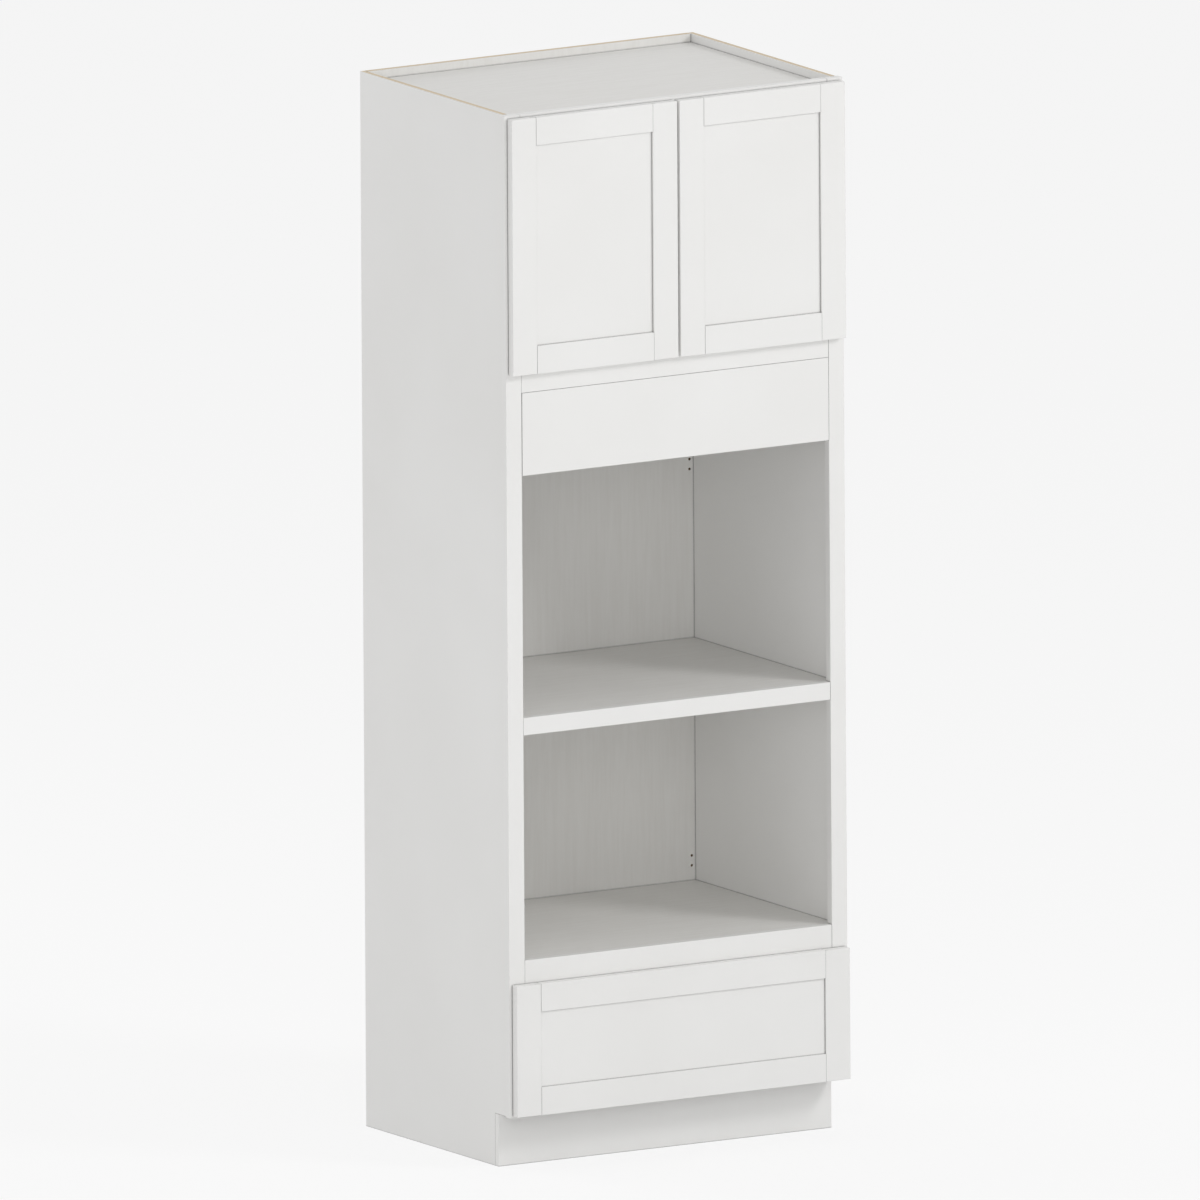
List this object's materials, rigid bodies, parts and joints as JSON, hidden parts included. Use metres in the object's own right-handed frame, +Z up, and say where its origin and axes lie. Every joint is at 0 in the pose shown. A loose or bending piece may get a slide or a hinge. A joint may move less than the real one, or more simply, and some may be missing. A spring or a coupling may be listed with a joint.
{
  "type": "tall oven and microwave cabinet",
  "caption": "Tall face-frame kitchen cabinet with open microwave and oven bays, a framed-door cupboard on top, a full-extension drawer below and a toe space.",
  "frame": {"origin": "on the floor under the middle of the cabinet's whole depth and width, doors included", "axes": "+X to the right seen from the front, +Y to the wall, +Z up"},
  "size_m": [0.8382, 0.6302, 2.286],
  "materials": {
    "paint": "satin white paint on wood",
    "lining": "satin white coated plywood",
    "drawer_wood": "clear satin lacquer on birch",
    "hinge_steel": "nickel plated",
    "slide_steel": "zinc plated"
  },
  "bodies": {
    "cabinet": {"adjustable_shelf": "lining", "back_panel": "lining", "bottom_panel": "lining", "cupboard_floor": "lining", "filler_board": "paint", "frame_bottom_rail": "paint", "frame_cupboard_rail": "paint", "frame_drawer_rail": "paint", "frame_middle_rail": "paint", "frame_stile_left": "paint", "frame_stile_right": "paint", "frame_top_rail": "paint", "left_lower_hinge_base": "hinge_steel", "left_upper_hinge_base": "hinge_steel", "microwave_floor": "lining", "oven_floor": "lining", "right_lower_hinge_base": "hinge_steel", "right_upper_hinge_base": "hinge_steel", "shelf_pin_left_front": "slide_steel", "shelf_pin_left_rear": "slide_steel", "shelf_pin_right_front": "slide_steel", "shelf_pin_right_rear": "slide_steel", "side_panel_left": "paint", "side_panel_right": "paint", "slide_left_outer": "slide_steel", "slide_right_outer": "slide_steel", "toe_kick": "paint", "top_panel": "lining"},
    "left_hinge_links": {"left_lower_hinge_link": "hinge_steel", "left_upper_hinge_link": "hinge_steel"},
    "left_door": {"left_door_panel": "paint", "left_door_rail_bottom": "paint", "left_door_rail_top": "paint", "left_door_stile_left": "paint", "left_door_stile_right": "paint", "left_lower_hinge_cup": "hinge_steel", "left_upper_hinge_cup": "hinge_steel"},
    "right_hinge_links": {"right_lower_hinge_link": "hinge_steel", "right_upper_hinge_link": "hinge_steel"},
    "right_door": {"right_door_panel": "paint", "right_door_rail_bottom": "paint", "right_door_rail_top": "paint", "right_door_stile_left": "paint", "right_door_stile_right": "paint", "right_lower_hinge_cup": "hinge_steel", "right_upper_hinge_cup": "hinge_steel"},
    "slide_middles": {"slide_left_middle": "slide_steel", "slide_right_middle": "slide_steel"},
    "drawer": {"drawer_box_back": "drawer_wood", "drawer_box_bottom": "drawer_wood", "drawer_box_front": "drawer_wood", "drawer_box_side_left": "drawer_wood", "drawer_box_side_right": "drawer_wood", "drawer_front_panel": "paint", "drawer_front_rail_bottom": "paint", "drawer_front_rail_top": "paint", "drawer_front_stile_left": "paint", "drawer_front_stile_right": "paint", "slide_left_inner": "slide_steel", "slide_right_inner": "slide_steel"}
  },
  "joints": [
    {"name": "left_door_link", "type": "hinge", "parent": "cabinet", "child": "left_hinge_links", "pos_m": [-0.3736, -0.29098, 2.00325], "axis": [0, 0, 1], "range_deg": [0, 30]},
    {"name": "left_door_swing", "type": "hinge", "parent": "left_hinge_links", "child": "left_door", "pos_m": [-0.4021, -0.30068, 2.00325], "axis": [0, 0, -1], "range_deg": [0, 135]},
    {"name": "right_door_link", "type": "hinge", "parent": "cabinet", "child": "right_hinge_links", "pos_m": [0.3736, -0.29098, 2.00325], "axis": [0, 0, -1], "range_deg": [0, 30]},
    {"name": "right_door_swing", "type": "hinge", "parent": "right_hinge_links", "child": "right_door", "pos_m": [0.4021, -0.30068, 2.00325], "axis": [0, 0, 1], "range_deg": [0, 135]},
    {"name": "drawer_slide", "type": "slide", "parent": "cabinet", "child": "drawer", "axis": [0, -1, 0], "range_m": [0, 0.5339]},
    {"name": "slide_middles_run", "type": "slide", "parent": "cabinet", "child": "slide_middles", "axis": [0, -1, 0], "range_m": [0, 0.26695]}
  ],
  "couplings": [
    {"joint": "left_door_link", "follows": "left_door_swing", "ratio": 0.22222},
    {"joint": "right_door_link", "follows": "right_door_swing", "ratio": 0.22222},
    {"joint": "slide_middles_run", "follows": "drawer_slide", "ratio": 0.5}
  ]
}
